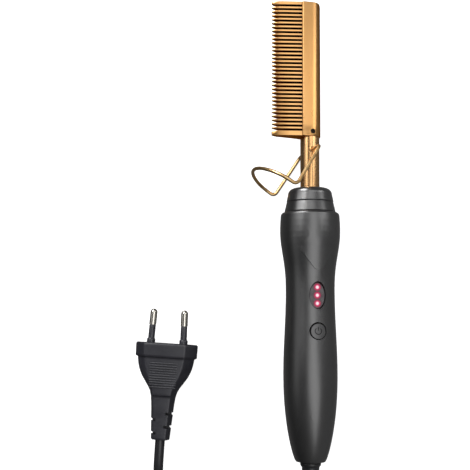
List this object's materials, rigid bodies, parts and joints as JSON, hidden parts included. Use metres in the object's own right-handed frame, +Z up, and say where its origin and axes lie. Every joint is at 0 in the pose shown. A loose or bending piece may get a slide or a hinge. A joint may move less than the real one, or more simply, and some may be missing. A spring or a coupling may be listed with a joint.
{
  "type": "electric hot comb",
  "caption": "Electric hot comb with a round handle, toothed metal comb head, folding wire stand, lens over indicator lights, push button and a swivelling mains cord with a two-pin plug.",
  "frame": {"origin": "centre of the comb's own box on the table, without the cord and plug", "axes": "+Z up, +Y along the handle towards the comb's tip, teeth towards -X, display up"},
  "size_m": [0.1147, 0.3739, 0.0449],
  "materials": {
    "comb_metal": "satin gold plating",
    "tube_metal": "polished gold plating",
    "wire_metal": "polished gold plating",
    "dark_screw": "blackened, hexagon socket",
    "insulation": "amber insulating film",
    "ceramic": "matt ceramic",
    "foil": "plain",
    "dark_lead": "insulated wire",
    "small_metal": "plain",
    "red_lead": "silicone insulation",
    "bush_plastic": "heat-proof phenolic",
    "screw_steel": "zinc plated",
    "handle_plastic": "soft-touch charcoal",
    "lens": "smoked clear plastic",
    "led": "water-clear, lit red",
    "black_plastic": "moulded",
    "button_plastic": "fine satin",
    "switch_body": "moulded",
    "board": "solder mask",
    "yellow_part": "moulded",
    "blue_part": "lacquered",
    "bearing_plastic": "natural acetal",
    "boot_plastic": "moulded",
    "contact_brass": "plain",
    "plug_rubber": "satin moulded",
    "sleeve_plastic": "smooth",
    "pin_metal": "nickel plated",
    "cord_sheath": "satin sheath",
    "tie_plastic": "soft band"
  },
  "bodies": {
    "comb_body": {"comb_head": "comb_metal", "comb_screw": "dark_screw", "neck_tube": "tube_metal", "heater_sleeve": "insulation", "ptc_plates": "ceramic", "electrodes": "foil", "thermistor": "dark_lead", "thermal_fuse": "small_metal", "heater_leads": "red_lead", "nose_bush": "bush_plastic", "retaining_ring": "screw_steel", "collar_cap": "handle_plastic", "collar_ring": "handle_plastic", "front_shell": "handle_plastic", "rear_shell": "handle_plastic", "display_lens": "lens", "leds": "led", "led_shield": "black_plastic", "tact_switch": "switch_body", "circuit_board": "board", "controller_chip": "black_plastic", "capacitor": "yellow_part", "triac": "black_plastic", "fuse_resistor": "blue_part", "board_screws": "screw_steel", "shell_screws": "screw_steel", "swivel_bearing": "bearing_plastic", "brush_holder": "bush_plastic", "brushes": "contact_brass", "mains_leads": "red_lead", "plug_body": "plug_rubber", "pin_sleeves": "sleeve_plastic", "plug_pins": "pin_metal", "cord_free": "cord_sheath", "cord_coil": "cord_sheath", "cord_tail": "cord_sheath", "coil_tie": "tie_plastic"},
    "stand": {"stand_wire": "wire_metal"},
    "button": {"power_button": "button_plastic", "switch_plunger": "black_plastic"},
    "swivel": {"swivel_boot": "boot_plastic", "slip_rings": "contact_brass"}
  },
  "joints": [
    {"name": "stand_fold", "type": "hinge", "parent": "comb_body", "child": "stand", "pos_m": [0.00804, 0.05649, 0.0176], "axis": [-0.3263, 0.022, -0.945], "range_deg": [-36, 62.7]},
    {"name": "button_press", "type": "slide", "parent": "comb_body", "child": "button", "axis": [-0.3263, 0.022, -0.945], "range_m": [0, 0.0005], "stiffness_N_per_m": 3000, "springref_m": -0.0002},
    {"name": "cord_swivel", "type": "hinge", "parent": "comb_body", "child": "swivel", "pos_m": [0.00804, -0.11207, 0.01369], "axis": [0, 0.9997, 0.0232], "continuous": true}
  ]
}
